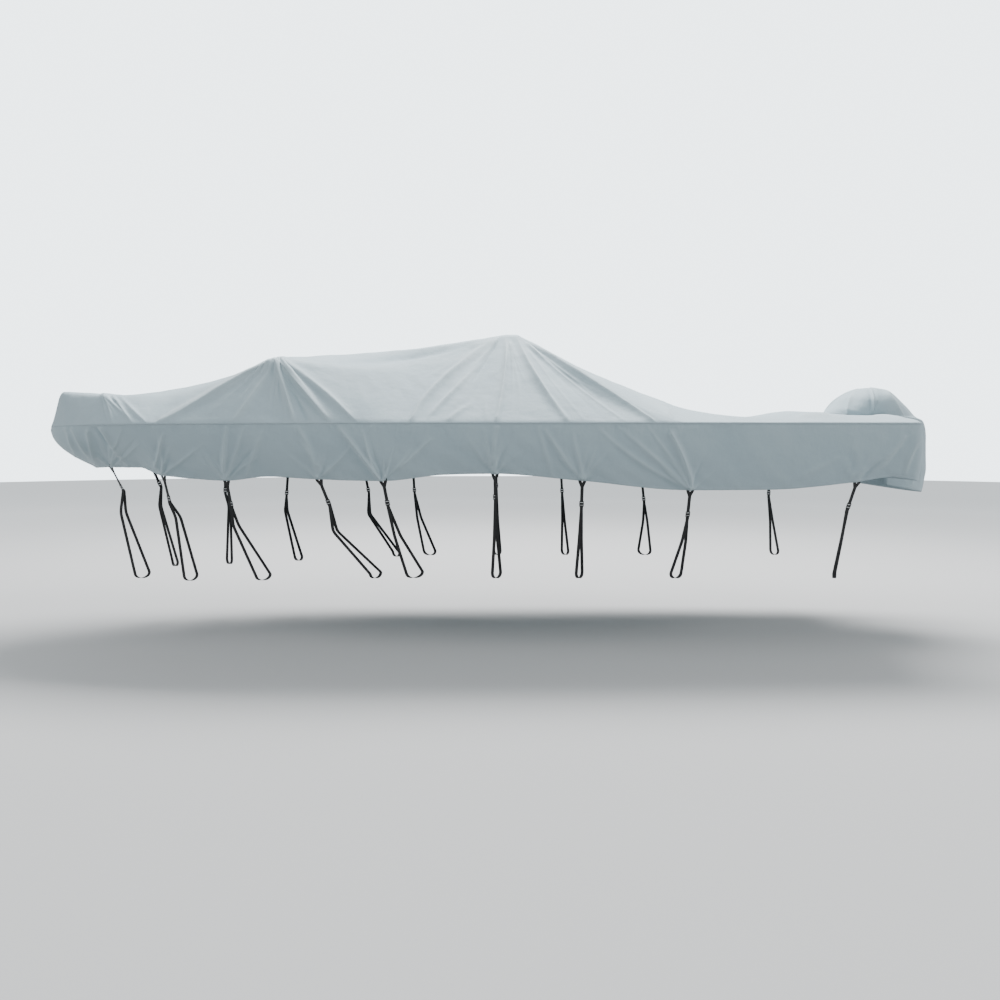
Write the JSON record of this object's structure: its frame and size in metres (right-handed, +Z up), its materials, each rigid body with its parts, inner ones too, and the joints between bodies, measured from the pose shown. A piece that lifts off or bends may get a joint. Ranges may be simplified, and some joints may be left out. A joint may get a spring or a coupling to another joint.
{
  "type": "boat cover",
  "caption": "Fitted cloth cover for a trailered boat, drawn over rail, windscreen and pole, with side skirts, motor hood and webbing tie-down straps with buckles.",
  "frame": {"origin": "under the deck panel's cloth at its highest point, where the support pole's head holds it up", "axes": "+X towards the stern, +Y to starboard, +Z up; the gunwale seam is level at z = -0.863 m"},
  "size_m": [8.2142, 2.3456, 2.2422],
  "materials": {
    "cloth": "matt woven polyester, light blue-grey",
    "webbing": "matt black polyester webbing",
    "buckle": "satin black moulded plastic"
  },
  "bodies": {
    "root": {"deck_panel": "cloth", "skirt_port": "cloth", "skirt_starboard": "cloth", "hood_front": "cloth", "hood_rear": "cloth", "tie_tab_port_bow": "webbing", "tie_tab_port_fore": "webbing", "tie_tab_port_screen_fore": "webbing", "tie_tab_port_screen_aft": "webbing", "tie_tab_port_cabin": "webbing", "tie_tab_port_pole": "webbing", "tie_tab_port_cockpit": "webbing", "tie_tab_port_stern": "webbing", "tie_tab_port_transom": "webbing", "tie_tab_starboard_bow": "webbing", "tie_tab_starboard_fore": "webbing", "tie_tab_starboard_screen_fore": "webbing", "tie_tab_starboard_screen_aft": "webbing", "tie_tab_starboard_cabin": "webbing", "tie_tab_starboard_pole": "webbing", "tie_tab_starboard_cockpit": "webbing", "tie_tab_starboard_stern": "webbing", "tie_tab_starboard_transom": "webbing", "tie_strap_port_bow": "webbing", "tie_strap_port_fore": "webbing", "tie_strap_port_screen_fore": "webbing", "tie_strap_port_screen_aft": "webbing", "tie_strap_port_cabin": "webbing", "tie_strap_port_pole": "webbing", "tie_strap_port_cockpit": "webbing", "tie_strap_port_stern": "webbing", "tie_strap_port_transom": "webbing", "tie_strap_starboard_bow": "webbing", "tie_strap_starboard_fore": "webbing", "tie_strap_starboard_screen_fore": "webbing", "tie_strap_starboard_screen_aft": "webbing", "tie_strap_starboard_cabin": "webbing", "tie_strap_starboard_pole": "webbing", "tie_strap_starboard_cockpit": "webbing", "tie_strap_starboard_stern": "webbing", "tie_strap_starboard_transom": "webbing", "tie_buckle_port_bow": "buckle", "tie_buckle_port_fore": "buckle", "tie_buckle_port_screen_fore": "buckle", "tie_buckle_port_screen_aft": "buckle", "tie_buckle_port_cabin": "buckle", "tie_buckle_port_pole": "buckle", "tie_buckle_port_cockpit": "buckle", "tie_buckle_port_stern": "buckle", "tie_buckle_port_transom": "buckle", "tie_buckle_starboard_bow": "buckle", "tie_buckle_starboard_fore": "buckle", "tie_buckle_starboard_screen_fore": "buckle", "tie_buckle_starboard_screen_aft": "buckle", "tie_buckle_starboard_cabin": "buckle", "tie_buckle_starboard_pole": "buckle", "tie_buckle_starboard_cockpit": "buckle", "tie_buckle_starboard_stern": "buckle", "tie_buckle_starboard_transom": "buckle"}
  },
  "joints": []
}
